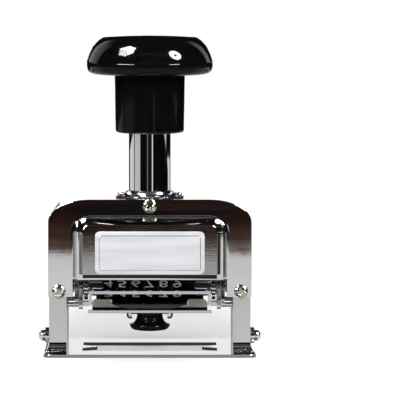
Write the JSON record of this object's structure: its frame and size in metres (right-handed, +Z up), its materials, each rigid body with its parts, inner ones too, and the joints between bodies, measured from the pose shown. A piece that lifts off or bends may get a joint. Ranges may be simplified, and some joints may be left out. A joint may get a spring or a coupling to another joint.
{
  "type": "numbering stamp",
  "caption": "Self-inking hand numbering machine: palm knob on a sprung plunger, arched chromed frame with covers, number wheels, swinging ink tray and an open base plate.",
  "frame": {"origin": "centre of the base plate's underside, on the table", "axes": "+Z up along the plunger, -Y towards the front cover and its bare plate, +X to the right seen from the front"},
  "size_m": [0.0836, 0.0478, 0.1198],
  "materials": {
    "chrome": "bright plating",
    "satin_steel": "brushed plating",
    "steel": "machined",
    "type_metal": "blackened, inked",
    "brass": "machined",
    "black_plastic": "polished",
    "felt": "ink-soaked felt",
    "rubber": "matt",
    "label_metal": "fine brushed, bare"
  },
  "bodies": {
    "frame": {"base_plate": "chrome", "frame_yoke": "satin_steel", "front_cover": "chrome", "back_cover": "chrome", "nameplate": "label_metal", "plunger_bush": "chrome", "front_cover_screw_left": "chrome", "front_cover_screw_right": "chrome", "front_cover_screw_top": "chrome", "back_cover_screw_left": "chrome", "back_cover_screw_right": "chrome", "stop_screw": "chrome", "bush_screw_left": "chrome", "bush_screw_right": "chrome", "side_screw_left": "chrome", "side_screw_right": "chrome", "guide_plate_left": "steel", "guide_plate_right": "steel", "guide_screw_left": "steel", "guide_screw_right": "steel", "base_screw_front_left": "steel", "base_screw_front_right": "steel", "base_screw_rear_left": "steel", "base_screw_rear_right": "steel", "spring_seat": "steel"},
    "plunger": {"knob": "black_plastic", "plunger_tube": "chrome", "head_block": "steel", "tube_plug": "steel", "return_spring": "steel", "bumper_ring": "rubber", "side_plate_left": "steel", "side_plate_right": "steel", "side_plate_screw_front_left": "steel", "side_plate_screw_rear_left": "steel", "side_plate_screw_front_right": "steel", "side_plate_screw_rear_right": "steel", "guide_roller_left": "brass", "guide_roller_right": "brass", "wheel_shaft": "steel", "shaft_collar_left": "steel", "shaft_collar_right": "steel", "detent_comb": "steel", "repeat_dial": "label_metal"},
    "wheel_1": {"number_wheel_1": "type_metal"},
    "wheel_2": {"number_wheel_2": "type_metal"},
    "wheel_3": {"number_wheel_3": "type_metal"},
    "wheel_4": {"number_wheel_4": "type_metal"},
    "wheel_5": {"number_wheel_5": "type_metal"},
    "wheel_6": {"number_wheel_6": "type_metal"},
    "ink_arms": {"ink_carrier": "chrome"},
    "ink_tray": {"pad_tray": "satin_steel", "ink_pad": "felt", "tray_knob": "black_plastic", "knob_clip": "steel"},
    "rocker": {"pawl_rocker": "steel", "pawl_comb": "steel"},
    "pointer": {"repeat_pointer": "brass"}
  },
  "joints": [
    {"name": "plunger_slide", "type": "slide", "parent": "frame", "child": "plunger", "axis": [0, 0, -1], "range_m": [0, 0.0176], "stiffness_N_per_m": 800, "springref_m": -0.02, "deforming": ["return_spring"]},
    {"name": "ink_swing", "type": "hinge", "parent": "plunger", "child": "ink_arms", "pos_m": [0, 0, 0.024], "axis": [-1, 0, 0], "range_deg": [0, 100]},
    {"name": "tray_pull", "type": "slide", "parent": "ink_arms", "child": "ink_tray", "axis": [0, 0, -1], "range_m": [0, 0.003]},
    {"name": "pawl_swing", "type": "hinge", "parent": "plunger", "child": "rocker", "pos_m": [0, 0, 0.024], "axis": [1, 0, 0], "range_deg": [0, 40]},
    {"name": "wheel_1_turn", "type": "hinge", "parent": "plunger", "child": "wheel_1", "pos_m": [-0.01565, 0, 0.024], "axis": [1, 0, 0], "continuous": true},
    {"name": "wheel_2_turn", "type": "hinge", "parent": "plunger", "child": "wheel_2", "pos_m": [-0.01045, 0, 0.024], "axis": [1, 0, 0], "continuous": true},
    {"name": "wheel_3_turn", "type": "hinge", "parent": "plunger", "child": "wheel_3", "pos_m": [-0.00525, 0, 0.024], "axis": [1, 0, 0], "continuous": true},
    {"name": "wheel_4_turn", "type": "hinge", "parent": "plunger", "child": "wheel_4", "pos_m": [-0.00005, 0, 0.024], "axis": [1, 0, 0], "continuous": true},
    {"name": "wheel_5_turn", "type": "hinge", "parent": "plunger", "child": "wheel_5", "pos_m": [0.00515, 0, 0.024], "axis": [1, 0, 0], "continuous": true},
    {"name": "wheel_6_turn", "type": "hinge", "parent": "plunger", "child": "wheel_6", "pos_m": [0.01035, 0, 0.024], "axis": [1, 0, 0], "continuous": true},
    {"name": "repeat_set", "type": "hinge", "parent": "plunger", "child": "pointer", "pos_m": [-0.0252, 0.00065, 0.0396], "axis": [-1, 0, 0], "range_deg": [0, 300]}
  ],
  "couplings": [
    {"joint": "ink_swing", "follows": "plunger_slide", "rad_per_m": 99.16},
    {"joint": "pawl_swing", "follows": "plunger_slide", "rad_per_m": 39.66}
  ]
}
